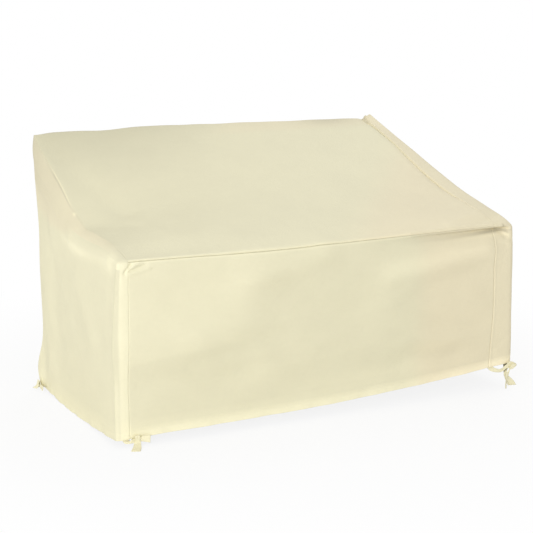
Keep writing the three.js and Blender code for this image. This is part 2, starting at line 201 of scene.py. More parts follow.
# Height of the top above the ground, from the front edge to the ridge.
slope = {
    "depth": (0, 0.030, 0.140, 0.260, 0.420, 0.520, 0.640, 0.780, 0.900),
    "left_rim": (0.583, 0.590, 0.602, 0.602, 0.612, 0.634, 0.668, 0.705, 0.745),
    "left_seam": (0.583, 0.589, 0.610, 0.619, 0.632, 0.663, 0.724, 0.803, 0.892),
    "middle": (0.583, 0.595, 0.635, 0.675, 0.727, 0.760, 0.800, 0.847, 0.893),
    "right_seam": (0.583, 0.600, 0.638, 0.667, 0.724, 0.765, 0.812, 0.856, 0.889),
    "right_rim": (0.583, 0.597, 0.629, 0.663, 0.716, 0.753, 0.801, 0.858, 0.906),
}

# How far the front edge of the seat sinks between the two side panels.
front_sag = {
    "x": (-0.708, -0.500, -0.250, 0.000, 0.200, 0.400, 0.641),
    "sag": (0.000, 0.003, 0.0105, 0.0065, 0.0038, 0.0020, 0.000),
}

# Plan of the cover at each height: its reach to the left and right, the width of each side panel's
# strip on the front and top, and the depth of the back.
walls = {
    "height": (0, 0.060, 0.130, 0.230, 0.420, 0.578, 0.680, 0.780, 0.828, 0.887),
    "left": (0.751, 0.753, 0.753, 0.753, 0.749, 0.738, 0.725, 0.715, 0.717, 0.718),
    "left_strip": (0.042, 0.042, 0.042, 0.042, 0.042, 0.035, 0.029, 0.024, 0.022, 0.018),
    "right": (0.748, 0.748, 0.747, 0.745, 0.742, 0.735, 0.724, 0.713, 0.708, 0.699),
    "right_strip": (0.104, 0.103, 0.099, 0.089, 0.086, 0.082, 0.087, 0.075, 0.060, 0.038),
    "depth": (0.750, 0.740, 0.718, 0.704, 0.727, 0.756, 0.814, 0.882, 0.906, 0.900),
}

# Height of the hem above the ground, along the front and the back, and its sag on the left.
hem = {
    "x": (-0.750, -0.640, -0.370, -0.100, 0.270, 0.750),
    "front": (0.022, 0.027, 0.031, 0.035, 0.052, 0.085),
    "back": (0.020, 0.024, 0.030, 0.036, 0.046, 0.060),
}
left_hem_sag = 0.020

# Folds of the cloth, each a soft ridge or trough between two places on the box: from, to, width and
# rise. The broad ones are the cloth's slack over the bench; the narrow ones pucker at its corners.
folds = [
    # Front, from the left to the right
    ((-0.040, 0, 0.665), (-0.290, 0, 0.590), 0.060, 0.009),
    ((-0.270, 0, 0.610), (-0.310, 0, 0.450), 0.130, 0.008),
    ((-0.340, 0, 0.420), (-0.460, 0, 0.370), 0.095, 0.007),
    ((-0.480, 0, 0.365), (-0.700, 0, 0.365), 0.110, 0.007),
    ((-0.640, 0, 0.210), (-0.340, 0, 0.190), 0.080, -0.008),
    ((-0.530, 0, 0.420), (-0.500, 0, 0.400), 0.060, 0.003),
    ((-0.150, 0, 0.480), (0.060, 0, 0.380), 0.110, -0.009),
    ((0.230, 0, 0.520), (0.600, 0, 0.590), 0.060, 0.010),
    ((0.400, 0, 0.440), (0.560, 0, 0.500), 0.070, -0.003),
    ((-0.060, 0, 0.265), (0.300, 0, 0.455), 0.036, 0.0022),
    ((0.290, 0, 0.130), (0.480, 0, 0.110), 0.055, -0.007),
    ((0.420, 0, 0.280), (0.560, 0, 0.230), 0.060, -0.004),
    ((0.300, 0, 0.215), (0.540, 0, 0.175), 0.034, 0.0025),
    ((-0.300, 0, 0.330), (-0.180, 0, 0.350), 0.050, -0.003),
    ((-0.420, 0, 0.230), (-0.250, 0, 0.270), 0.030, 0.0014),
    ((-0.230, 0, 0.200), (0.040, 0, 0.215), 0.030, 0.0014),
    ((-0.500, 0, 0.270), (-0.380, 0, 0.300), 0.026, -0.0012),
    # Seat and back
    ((-0.600, 0.900, 0.700), (-0.500, 0.900, 0.700), 0.080, -0.004),
    ((-0.290, 0.900, 0.700), (-0.110, 0.900, 0.700), 0.090, 0.005),
    ((0.520, 0.900, 0.700), (0.640, 0.900, 0.700), 0.080, -0.004),
    ((-0.700, 0.880, 0.700), (-0.560, 0.420, 0.700), 0.045, -0.006),
    ((-0.680, 0.380, 0.700), (-0.580, 0.290, 0.700), 0.050, -0.004),
    ((-0.560, 0.350, 0.700), (-0.520, 0.200, 0.700), 0.022, 0.0012),
    ((-0.300, 0.060, 0.700), (0.560, 0.060, 0.700), 0.050, 0.003),
    ((0.655, 0.890, 0.700), (0.645, 0.840, 0.700), 0.008, -0.006),
    ((0.668, 0.900, 0.700), (0.672, 0.885, 0.700), 0.014, 0.006),
    ((0.470, 0.020, 0.700), (0.700, 0.110, 0.700), 0.020, 0.004),
    ((0.560, 0.005, 0.700), (0.720, 0.060, 0.700), 0.012, -0.003),
    # Left side
    ((-0.750, 0.680, 0.630), (-0.750, 0.480, 0.672), 0.045, 0.006),
    ((-0.750, 0.430, 0.680), (-0.750, 0.080, 0.680), 0.036, 0.010),
    ((-0.750, 0.360, 0.560), (-0.750, 0.210, 0.360), 0.060, 0.004),
    ((-0.750, 0.640, 0.420), (-0.750, 0.600, 0.160), 0.100, -0.007),
    ((-0.750, 0.045, 0.640), (-0.750, 0.040, 0.080), 0.022, -0.001),
    ((-0.750, 0.900, 0.090), (-0.750, 0.860, 0.050), 0.050, 0.012),
    ((-0.750, 0.720, 0.100), (-0.750, 0.560, 0.060), 0.050, 0.004),
    # Right side
    ((0.750, 0.130, 0.560), (0.750, 0.420, 0.130), 0.090, 0.006),
    ((0.750, 0.520, 0.480), (0.750, 0.600, 0.140), 0.080, -0.005),
    ((0.655, 0, 0.675), (0.740, 0, 0.625), 0.010, -0.0030),
    ((0.665, 0, 0.645), (0.740, 0, 0.600), 0.010, 0.0016),
    ((0.660, 0, 0.090), (0.735, 0, 0.150), 0.012, -0.0010),
    # Back
    ((-0.560, 0.900, 0.610), (-0.260, 0.900, 0.180), 0.110, 0.007),
    ((0.540, 0.900, 0.600), (0.330, 0.900, 0.160), 0.110, 0.007),
    ((-0.100, 0.900, 0.560), (0.060, 0.900, 0.220), 0.130, -0.006),
    # Puckers where the front edge of the seat meets the left seam
    ((-0.722, 0, 0.658), (-0.700, 0, 0.688), 0.005, -0.0050),
    ((-0.708, 0, 0.672), (-0.670, 0, 0.694), 0.005, 0.0032),
    ((-0.703, 0, 0.662), (-0.655, 0, 0.682), 0.005, -0.0042),
    ((-0.705, 0, 0.650), (-0.640, 0, 0.672), 0.007, 0.0026),
]


def read(table, column, at):
    """A column of a table at values of its first column, on one smooth curve."""
    places, values = np.array(table[next(iter(table))]), np.array(table[column])
    at = np.clip(at, places[0], places[-1])
    slopes = np.gradient(values, places)
    i = np.clip(np.searchsorted(places, at) - 1, 0, len(places) - 2)
    gap = places[i + 1] - places[i]
    t = (at - places[i]) / gap
    start = (1 + 2 * t) * (1 - t) ** 2 * values[i] + t * (1 - t) ** 2 * gap * slopes[i]
    end = t**2 * (3 - 2 * t) * values[i + 1] + t**2 * (t - 1) * gap * slopes[i + 1]
    return start + end


def between(at, low, high, low_value, high_value):
    return low_value + (high_value - low_value) * (at - low) / (high - low)


def top_height(x, y):
    """Height of the top above the ground, over points of the box."""
    rows = {name: read(slope, name, y) for name in slope if name != "depth"}
    across = (x - left_seam) / (right_seam - left_seam)
    middle = (
        rows["middle"]
        + (rows["left_seam"] - rows["middle"]) * (1 - across) ** 3
        + (rows["right_seam"] - rows["middle"]) * across**3
    )
    middle -= read(front_sag, "sag", x) * np.exp(-((y / 0.10) ** 2))
    left = between(x, -LENGTH / 2, left_seam, rows["left_rim"], rows["left_seam"])
    right = between(x, right_seam, LENGTH / 2, rows["right_seam"], rows["right_rim"])
    return np.where(x < left_seam, left, np.where(x > right_seam, right, middle))


def hem_height(x, y):
    """Height of the hem above the ground, below points of the box."""
    back = y / DEPTH
    sag = left_hem_sag * 4 * back * (1 - back) * (LENGTH / 2 - x) / LENGTH
    return between(back, 0, 1, read(hem, "front", x), read(hem, "back", x)) - sag


def drape(points):
    """Takes points of the straight box to their places on the draped cover."""
    x, y, z = points.T
    top = top_height(x, y)
    shoulder = HEIGHT - EDGE[2]
    on_wall = between(z, 0, shoulder, hem_height(x, y), top - EDGE[2])
    height = np.where(z > shoulder, top - (HEIGHT - z), on_wall)
    wall = {name: read(walls, name, height) for name in walls if name != "height"}
    left = wall["left_strip"] - wall["left"]
    right = wall["right"] - wall["right_strip"]
    middle = between(x, left_seam, right_seam, left, right)
    left_side = between(x, -LENGTH / 2, left_seam, -wall["left"], left)
    right_side = between(x, right_seam, LENGTH / 2, right, wall["right"])
    along = np.where(x < left_seam, left_side, np.where(x > right_seam, right_side, middle))
    pulled_in = (DEPTH - wall["depth"]) * (y / DEPTH) ** 3
    return np.stack([along, y - pulled_in, height], axis=1) - HOLD


def near(at, place, width):
    """1 at a place, falling off smoothly within a width or two of it."""
    return np.exp(-(((at - place) / width) ** 2))


def near_line(points, start, end, width):
    """1 on the line between two places of the box, falling off smoothly beside it."""
    start, end = np.array(start), np.array(end)
    run = end - start
    share = np.clip((points - start) @ run / max(run @ run, 1e-9), 0, 1)
    return near(np.linalg.norm(points - start - share[:, None] * run, axis=1), 0, width)


def soft_step(at, start, width):
    """Rises smoothly from 0 to 1 round a place."""
    return 1 / (1 + np.exp(-(at - start) / width))


def ripple(points):
    """The slight unevenness of cloth that hangs: long, faint waves in several directions, each with
    its height, its pace along x, y and z, and its start."""
    waves = (
        (0.0009, (9.1, 3.7, 5.3), 0.4),
        (0.0006, (17.3, 14.1, -11.9), 1.9),
        (0.0003, (41.7, -33.9, 36.3), 2.6),
    )
    return sum(height * np.sin(points @ np.array(pace) + start) for height, pace, start in waves)


def seam_at(distance, depth, welt=0.0009):
    """A seam's groove, with the folded allowance raised beside it on its positive side."""
    groove = -depth * near(distance, 0, 0.0024)
    allowance = soft_step(distance, 0.0015, 0.0006) - soft_step(distance, 0.0100, 0.0009)
    return groove + welt * allowance


def seam_rise(points):
    """The seams between the panels, as deep as each is drawn in, and the two lines of stitches
    below the front edge at its left end."""
    x, y, z = points.T
    on_top, on_front, on_back = z > HEIGHT - ON_FACE, y < ON_FACE, y > DEPTH - ON_FACE
    drawn_left = 0.0003 + 0.0020 * near(y, 0.68, 0.10) * on_top
    drawn_left += 0.0008 * on_back + 0.0003 * on_front * (1 - z / HEIGHT)
    drawn_right = 0.0016 * on_top * soft_step(y, 0.18, 0.04) + 0.0010 * (on_back | on_front)
    lengthwise = seam_at(left_seam - x, drawn_left, 0.0003) + seam_at(x - right_seam, drawn_right)
    valley = np.where(x < right_seam, 0.016, 0.005)
    lengthwise -= 0.0050 * soft_step(y, 0.24, 0.04) * on_top * near(x, right_seam, valley)
    from_front = np.where(on_top, y, np.where(on_front, z - HEIGHT, 1))
    from_ridge = np.where(on_top, DEPTH - y, np.where(on_back, z - HEIGHT, 1))
    crosswise = seam_at(from_front, 0.0022, 0.0012) + seam_at(from_ridge, 0.0008, 0.0004)
    topstitched = (x > left_seam) & (x < -0.05) & on_front
    for line in (0.012, 0.020):
        crosswise -= 0.0006 * topstitched * near(from_front, -line, 0.0016)
    between_seams = (x > left_seam - 1e-4) & (x < right_seam + 1e-4)
    return np.where(on_top | on_front | on_back, lengthwise, 0) + np.where(between_seams, crosswise, 0)


def tuck_rise(points):
    """The front drawn in under the seat's edge at the right, where the cover is wider than the bench,
    and the lip that the edge makes over it."""
    x, y, z = points.T
    below = HEIGHT - z
    drawn = np.clip((x - 0.02) / 0.60, 0, 1)
    reach = 0.012 + 0.040 * drawn
    hollow = (1 - near(below, 0, 0.012)) * np.exp(-((below / reach) ** 1.4))
    tuck = -0.034 * drawn**1.4 * hollow * (y < ON_FACE)
    lip = 0.005 * drawn * near(y + below, 0, 0.016)
    return np.where(y < 0.03, tuck + lip, 0) * soft_step(0.715, x, 0.006)


def hem_rise(points):
    """The hem's stitched line and the cloth turned up below it, which waves a little."""
    x, y, z = points.T
    stitched = -0.0010 * near(z, 0.026, 0.003)
    around = x + y * 1.3
    waves = 0.0012 * np.sin(around * 38 + 0.7) + 0.0008 * np.sin(around * 71 + 2.2)
    waves *= np.clip(1 - z / 0.06, 0, 1) ** 2
    flare = 0.010 * np.clip(1 - z / 0.13, 0, 1) ** 2
    return stitched + waves + flare * (y < ON_FACE) * soft_step(0.60, np.abs(x), 0.03)


def rise_of_cloth(points):
    """How far the cloth stands out from the box."""
    rise = ripple(points) + seam_rise(points) + tuck_rise(points) + hem_rise(points)
    for start, end, width, height in folds:
        rise += height * near_line(points, start, end, width)
    return rise


def on_cloth(points, above=0.0):
    """Places on the outer face of the draped cloth for points on the faces of the box."""
    points = np.asarray(points, dtype=float)
    core = points.copy()
    core[:, 0] = np.clip(points[:, 0], EDGE[0] - LENGTH / 2, LENGTH / 2 - EDGE[0])
    core[:, 1] = np.clip(points[:, 1], EDGE[1], DEPTH - EDGE[1])
    core[:, 2] = np.minimum(points[:, 2], HEIGHT - EDGE[2])
    out = (points - core) / EDGE
    out /= np.linalg.norm(out, axis=1)[:, None]
    core += out * (EDGE + (rise_of_cloth(points) + above)[:, None])
    return drape(core)


# --- Painted light and shade on the cloth ---------------------------------------------------------
# Most of the cloth's tones are painted light and shade: painted shade along the ridge, in the tuck
# and under the seat's edge, and painted highlights on the left corner, below the left crease and on
# the front. They stand for soft shade in folds and seams that are too fine to be shaped. At the hem
# the pale tone is partly the double cloth's own colour.
PAINTED_LIGHT_STEP = 0.2  # a tone of 1 makes the cloth lighter by this share
PALEST = 1.1  # the highest tone


def faces_of(points):
    """Which points are on the top, on the front with the turn of its corners, and on the left."""
    x, y, z = points.T
    on_top = z > HEIGHT - ON_FACE
    return on_top, (y < 0.012) & ~on_top, x < ON_FACE - LENGTH / 2


def painted_shade_on_ridge(points):
    """Painted shade along the ridge of the back, deepest towards the left, and at the fold near its
    right end.
    """
    x, y, z = points.T
    on_top, _, _ = faces_of(points)
    from_ridge = DEPTH - y + 3 * (HEIGHT - z)
    leftwards = soft_step(-x, 0.10, 0.10)
    deep, reach = 0.22 + 0.85 * leftwards, 0.04 + 0.15 * leftwards
    painted_light_and_tone = -deep * np.exp(-((from_ridge / reach) ** 1.2)) * (1 - 0.5 * soft_step(-0.712, x, 0.010))
    painted_light_and_tone -= 0.70 * near(x, 0.46, 0.12) * near(from_ridge, 0, 0.07)
    painted_light_and_tone -= 0.25 * near(x, 0.48, 0.10) * near(from_ridge, 0, 0.07) * on_top
    painted_light_and_tone -= 0.80 * near(from_ridge, 0, 0.006) * on_top
    painted_light_and_tone -= 0.90 * near_line(points, (0.655, 0.890, 0.700), (0.648, 0.855, 0.700), 0.006)
    return painted_light_and_tone


def painted_light_on_front(points):
    """Painted light and shade on the front: lighter at its left end, darker in its slack at the right.
    """
    x, _, z = points.T
    _, on_front, _ = faces_of(points)
    painted_light_up_to = np.interp(z, (0.28, 0.34, 0.40, 0.56, 0.66), (-0.78, -0.32, -0.20, -0.17, 0.04))
    painted_light_and_tone = (0.06 - 0.19 * soft_step(x, painted_light_up_to, 0.030)) * (x < right_seam) * (x > left_seam)
    painted_light_and_tone += 0.15 * soft_step(-0.63, x, 0.03)
    painted_light_and_tone += 0.36 * near_line(points, (0.230, 0, 0.555), (0.590, 0, 0.605), 0.042)
    painted_light_and_tone -= 0.50 * near(x, 0.39, 0.16) * near(z, HEIGHT - 0.016, 0.026)
    painted_light_and_tone += 0.28 * near(x, 0.20, 0.25) * near(z, 0.09, 0.04)
    painted_light_and_tone -= 0.18 * near(x, 0.45, 0.08) * near(z, 0.11, 0.03)
    painted_light_and_tone += 0.14 * near(x, 0.40, 0.08) * near(z, 0.17, 0.02)
    return painted_light_and_tone * on_front


def painted_light_on_left_corner(points):
    """The left panel's strip on the front, with a painted highlight along it, painted shade where it
    turns the corner, its stitches along its seam and a painted highlight beside them."""
    x, y, z = points.T
    _, on_front, on_left = faces_of(points)
    upper, lower = 0.62, 0.30
    strip = 0.40 + 0.15 * soft_step(lower, z, 0.05) - 0.17 * soft_step(z, 0.67, 0.01)
    strip_from = np.interp(z, (lower, upper), (-0.738, -0.744))
    painted_light_and_tone = strip * soft_step(x, strip_from, 0.004) * soft_step(-0.7105, x, 0.001) * on_front
    rounding = np.abs((x + LENGTH / 2) / np.interp(z, (lower, upper), (0.012, 0.006)))
    turned = 0.58 * np.exp(-(rounding**3)) * near(y, 0, 0.012)
    turned += (0.45 * near(y, 0.008, 0.008) - 0.12 * near(y, 0.020, 0.006)) * on_left
    painted_light_and_tone -= turned * (z < HEIGHT - 0.03) * (0.35 + 0.65 * soft_step(z, 0.24, 0.03))
    stitches = soft_step(0.38, z, 0.03) * (0.6 + 0.4 * np.sin(z * 240))
    painted_light_and_tone -= 0.25 * stitches * near(x, left_seam + 0.0015, 0.0012) * on_front
    painted_light_and_tone += 0.40 * near(x, left_seam, 0.003) * on_front
    return painted_light_and_tone


def painted_shadow_and_highlight_of_tuck(points):
    """Painted shadow in the tuck under the seat's edge and its knot, and a painted highlight on the
    lip.
    """
    x, y, z = points.T
    on_top, on_front, _ = faces_of(points)
    below = HEIGHT - z
    drawn = np.clip((x - 0.05) / 0.58, 0, 1)
    tucked = (near(below, 0.036, 0.0065) - 0.25 * near(below, 0.047, 0.008)) * drawn**5
    tucked += 0.15 * near(below, 0.009, 0.005) * drawn**3
    painted_light_and_tone = -2.0 * tucked * on_front * soft_step(0.720, x, 0.004)
    painted_light_and_tone -= 0.8 * near_line(points, (0.714, 0, 0.673), (0.742, 0, 0.680), 0.005)
    painted_light_and_tone -= 1.6 * near(x, 0.690, 0.006) * near(y, 0, 0.006) * near(below, 0, 0.012)
    lip = near(y, 0.004, 0.003) * on_top + near(below, 0.007, 0.003) * on_front
    return painted_light_and_tone + 0.45 * lip * (x < 0.3) * (x > left_seam)


def painted_light_on_left_side(points):
    """Painted light and shade on the left side, brightest below its crease, and on its strip on the
    top up to the seam.
    """
    x, y, z = points.T
    on_top, _, on_left = faces_of(points)
    crease = (-0.750, 0.600, 0.650), (-0.750, 0.060, 0.660)
    painted_light_and_tone = 0.42 * near_line(points, *crease, 0.026) * soft_step(0.51, y, 0.03)
    painted_light_and_tone += 0.45 * near_line(points, *crease, 0.024) * near(y, 0.36, 0.11)
    painted_light_and_tone -= 0.32 * near(z, HEIGHT, 0.045) * soft_step(y, 0.48, 0.02) * on_left
    painted_light_and_tone += (0.15 + 0.14 * near(y, 0.60, 0.15)) * on_left
    painted_light_and_tone += 0.22 * near(x, -0.58, 0.10) * near(y, 0.09, 0.07) * on_top
    strip = on_top * (x < left_seam) * soft_step(y, 0.05, 0.02)
    painted_light_and_tone += (0.30 * soft_step(0.45, y, 0.06) - 0.06) * strip
    drawn_in = on_top * np.exp(-(((y - 0.650) / 0.100) ** 4))
    painted_light_and_tone -= 0.9 * near(x, left_seam - 0.004, 0.002) * drawn_in
    painted_light_and_tone += 0.8 * near(x, left_seam + 0.0015, 0.002) * drawn_in
    painted_light_and_tone += 0.9 * near(x, left_seam - 0.004, 0.006) * near(y, 0.500, 0.010) * on_top
    return painted_light_and_tone


def hem_tone_and_painted_light(points):
    """The hem, pale where the cloth is turned up: partly the double cloth's own colour, partly painted
    light from the floor.
    """
    x, y, z = points.T
    _, on_front, on_left = faces_of(points)
    at_hem = np.clip(1 - z / 0.075, 0, 1) ** 0.8
    turned_up = np.clip(1 - z / 0.042, 0, 1) ** 0.6
    along_front = 0.45 - 0.35 * soft_step(x, 0.25, 0.06)
    elsewhere = 0.15 + 0.35 * on_left
    painted_light_and_tone = np.where(y < 0.02, along_front, elsewhere) * at_hem
    rightwards = soft_step(x, 0.42, 0.06)
    return painted_light_and_tone + (0.70 + 0.60 * rightwards) * turned_up * on_front * (x > left_seam)


def painted_light_and_tone_of_cloth(points):
    """All the painted light and shade together, with the hem's own paler colour."""
    painted_light_and_tone = painted_shade_on_ridge(points) + painted_light_on_front(points) + painted_light_on_left_corner(points)
    painted_light_and_tone += painted_shadow_and_highlight_of_tuck(points) + painted_light_on_left_side(points) + hem_tone_and_painted_light(points)
    return np.minimum(painted_light_and_tone, PALEST)


def warmth_of_cloth(points):
    """Where the cloth's colour is a little warmer: towards the right, and on the left side's strip
    on the top and over its edge."""
    x, y, z = points.T
    on_top, _, on_left = faces_of(points)
    strip = on_top * soft_step(left_seam, x, 0.003) * soft_step(y, 0.12, 0.03)
    reach = np.interp(y, (0.35, 0.50, 0.80), (-0.03, 0.03, 0.09))
    strip = np.maximum(strip, soft_step(reach, HEIGHT - z, 0.007) * on_left)
    right = np.maximum(soft_step(x - 0.9 * y, 0.10, 0.04), soft_step(x, right_seam, 0.004))
    ridge = 0.6 * soft_step(x, 0.00, 0.03) * soft_step(y, 0.815, 0.008)
    rightwards = np.where(on_top, np.maximum(right, ridge), soft_step(x, 0.34, 0.02))
    return np.maximum(0.7 * strip, rightwards)


# --- Coated cloth ---------------------------------------------------------------------------------
# Woven polyester with a water-repellent coating: a fine oxford weave, a semi-matte face, and very
# slight clouds in its colour.
def coated_cloth(name, colour, lighter):
    paint = bpy.data.materials.new(name)
    shader = Shader(paint)
    flat = shader.add("ShaderNodeUVMap", {"uv_map": "cloth"})[0]
    parts = shader.add("ShaderNodeSeparateXYZ", None, {0: flat})
    thread = 0.0013
    weave = parts[0].wave(thread) * parts[1].wave(thread)
    clouds = shader.add("ShaderNodeTexNoise", None, {"Vector": flat, "Scale": 9.0, "Detail": 3.0})[0]
    crumple = shader.add(
        "ShaderNodeTexNoise", None, {"Vector": flat, "Scale": 55.0, "Detail": 4.0, "Roughness": 0.6}
    )[0]
    speckle = shader.add(
        "ShaderNodeTexNoise", None, {"Vector": flat, "Scale": 900.0, "Detail": 1.0}
    )[0]
    shade = clouds * 0.55 + crumple * 0.25 + speckle * 0.2
    dyed = shader.add(
        "ShaderNodeMix", {"data_type": "RGBA"}, {0: shade, 6: (*colour, 1), 7: (*lighter, 1)}
    )[2]
    height = weave * 0.00008 + crumple * 0.0015
    bump = shader.add("ShaderNodeBump", None, {"Strength": 0.7, "Distance": 1.0, "Height": height})[0]
    # The cloth's colour is made lighter or darker by the painted light and shade stored on each panel.
    painted_light_and_tone = shader.add("ShaderNodeAttribute", {"attribute_name": "painted_light_and_tone"})[2]
    with_painted_light = shader.add(
        "ShaderNodeVectorMath", {"operation": "SCALE"}, {0: dyed, "Scale": painted_light_and_tone * PAINTED_LIGHT_STEP + 1.0}
    )[0]
    warmth = shader.add("ShaderNodeAttribute", {"attribute_name": "warmth"})[2]
    warmed = shader.add(
        "ShaderNodeMix",
        {"data_type": "RGBA", "blend_type": "MULTIPLY"},
        {0: warmth, 6: with_painted_light, 7: (1.03, 0.984, 0.982, 1)},
    )[2]
    surface = shader.add(
        "ShaderNodeBsdfPrincipled",
        None,
        {"Base Color": warmed, "Roughness": clouds * 0.1 + 0.53, "IOR": 1.45, "Normal": bump},
    )[0]
    shader.add("ShaderNodeOutputMaterial", None, {"Surface": surface})
    return paint


cream_cloth = coated_cloth("cream_cloth", (0.752, 0.710, 0.500), (0.848, 0.804, 0.574))


# --- Panels ---------------------------------------------------------------------------------------
# Each panel is cut from one or more faces of the box, in cells that are finer along its seams and
# its hem, sewn into one sheet, draped, and given the thickness of the cloth.
CELL = 0.0054
SEWN = np.array([0.00008, 0.0015, 0.003, 0.0046, 0.0065, 0.0085, 0.0105, 0.013, 0.0165])


def cell_lines(start, stop):
    """Places of the cell lines between two edges of a panel."""
    steps = max(1, round((stop - start - 2 * SEWN[-1]) / CELL))
    inside = np.linspace(start + SEWN[-1], stop - SEWN[-1], steps + 1)[1:-1]
    return np.concatenate([start + SEWN, inside, stop - SEWN[::-1]])


def with_ends(lines, first=None, last=None):
    """The same lines, with one or both ends moved to the edge of the box."""
    lines = lines.copy()
    lines[0] = lines[0] if first is None else first
    lines[-1] = lines[-1] if last is None else last
    return lines


x_left = with_ends(cell_lines(-LENGTH / 2, left_seam), first=-LENGTH / 2)
x_middle = cell_lines(left_seam, right_seam)
x_right = with_ends(cell_lines(right_seam, LENGTH / 2), last=LENGTH / 2)
y_all = with_ends(cell_lines(0, DEPTH), 0, DEPTH)
z_all = with_ends(cell_lines(0, HEIGHT), 0, HEIGHT)
z_seamed = with_ends(cell_lines(0, HEIGHT), first=0)


def cut_cells(shape, across, along, place, flat):
    """Adds the cells of one face of the box, with the flat cloth's own coordinates."""
    layer = shape.loops.layers.uv.get("cloth") or shape.loops.layers.uv.new("cloth")
    made = bmesh.ops.create_grid(
        shape, x_segments=len(across) - 1, y_segments=len(along) - 1, size=0.5
    )["verts"]
    for vert in made:
        column = round((vert.co.x + 0.5) * (len(across) - 1))
        row = round((vert.co.y + 0.5) * (len(along) - 1))
        vert.co = place(across[column], along[row])
    for face in {face for vert in made for face in vert.link_faces}:
        for loop in face.loops:
            loop[layer].uv = flat(*loop.vert.co)


def finish_panel(name, shape, thickness=0.0014):
    """Sews the cells together, drapes them and makes the panel's object."""
    bmesh.ops.remove_doubles(shape, verts=shape.verts, dist=1e-5)
    mesh = bpy.data.meshes.new(name)
    shape.to_mesh(mesh)
    shape.free()
    places = np.empty(3 * len(mesh.vertices))
    mesh.vertices.foreach_get("co", places)
    points = places.reshape(-1, 3)
    mesh.vertices.foreach_set("co", on_cloth(points).ravel())
    # Each panel keeps its painted light and shade, and the warmth of its colour, as attributes.
    for attribute, values in (("painted_light_and_tone", painted_light_and_tone_of_cloth(points)), ("warmth", warmth_of_cloth(points))):
        mesh.attributes.new(attribute, "FLOAT", "POINT").data.foreach_set("value", values)
    mesh.shade_smooth()
    mesh.materials.append(cream_cloth)
    panel = bpy.data.objects.new(name, mesh)
    bpy.context.scene.collection.objects.link(panel)
    cloth = panel.modifiers.new("cloth", "SOLIDIFY")
    cloth.thickness = thickness
    cloth.offset = -1
    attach(panel, "root")
    return panel


def front_face(x, z):
    return (x, 0, z)


def top_face(x, y):
    return (x, y, HEIGHT)


def back_face(x, z):
    return (-x, DEPTH, z)


# --- Front panel ----------------------------------------------------------------------------------
# One width of cloth from the hem to the front edge of the seat, sewn to both side panels.
shape = bmesh.new()
cut_cells(shape, x_middle, z_seamed, front_face, lambda x, y, z: (x, z))
front = finish_panel("front_panel", shape)
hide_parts("panel_front")


# --- Seat and back panel --------------------------------------------------------------------------
# One width of cloth that slopes from the front edge up to the ridge of the back.
shape = bmesh.new()
cut_cells(shape, x_middle, cell_lines(0, DEPTH), top_face, lambda x, y, z: (x, y))
sloping = finish_panel("slope_panel", shape)
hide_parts("panel_slope")


# --- Back panel -----------------------------------------------------------------------------------
# One width of cloth from the ridge down to the hem behind.
shape = bmesh.new()
cut_cells(shape, -x_middle[::-1], z_seamed, back_face, lambda x, y, z: (-x, z))
back = finish_panel("back_panel", shape)
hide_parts("panel_back")


# --- Side panels ----------------------------------------------------------------------------------
# Each is cut to the profile of the bench and wrapped round on to the front, top and back.
def left_face(y, z):
    return (-LENGTH / 2, -y, z)


def right_face(y, z):
    return (LENGTH / 2, y, z)


for side, strip, wall_place, wall_lines, area in (
    ("left", x_left, left_face, -y_all[::-1], 0.56),
    ("right", x_right, right_face, y_all, 0.67),
):
    edge = -LENGTH / 2 if side == "left" else LENGTH / 2
    shape = bmesh.new()
    cut_cells(shape, strip, z_all, front_face, lambda x, y, z: (-abs(x - edge), z))
    cut_cells(shape, strip, y_all, top_face, lambda x, y, z: (y, HEIGHT + abs(x - edge)))
    cut_cells(shape, -strip[::-1], z_all, back_face, lambda x, y, z: (DEPTH + abs(x - edge), z))
    cut_cells(shape, wall_lines, z_all, wall_place, lambda x, y, z: (y, z))
    panel = finish_panel(f"{side}_side_panel", shape)
    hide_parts(f"panel_side_{side}")

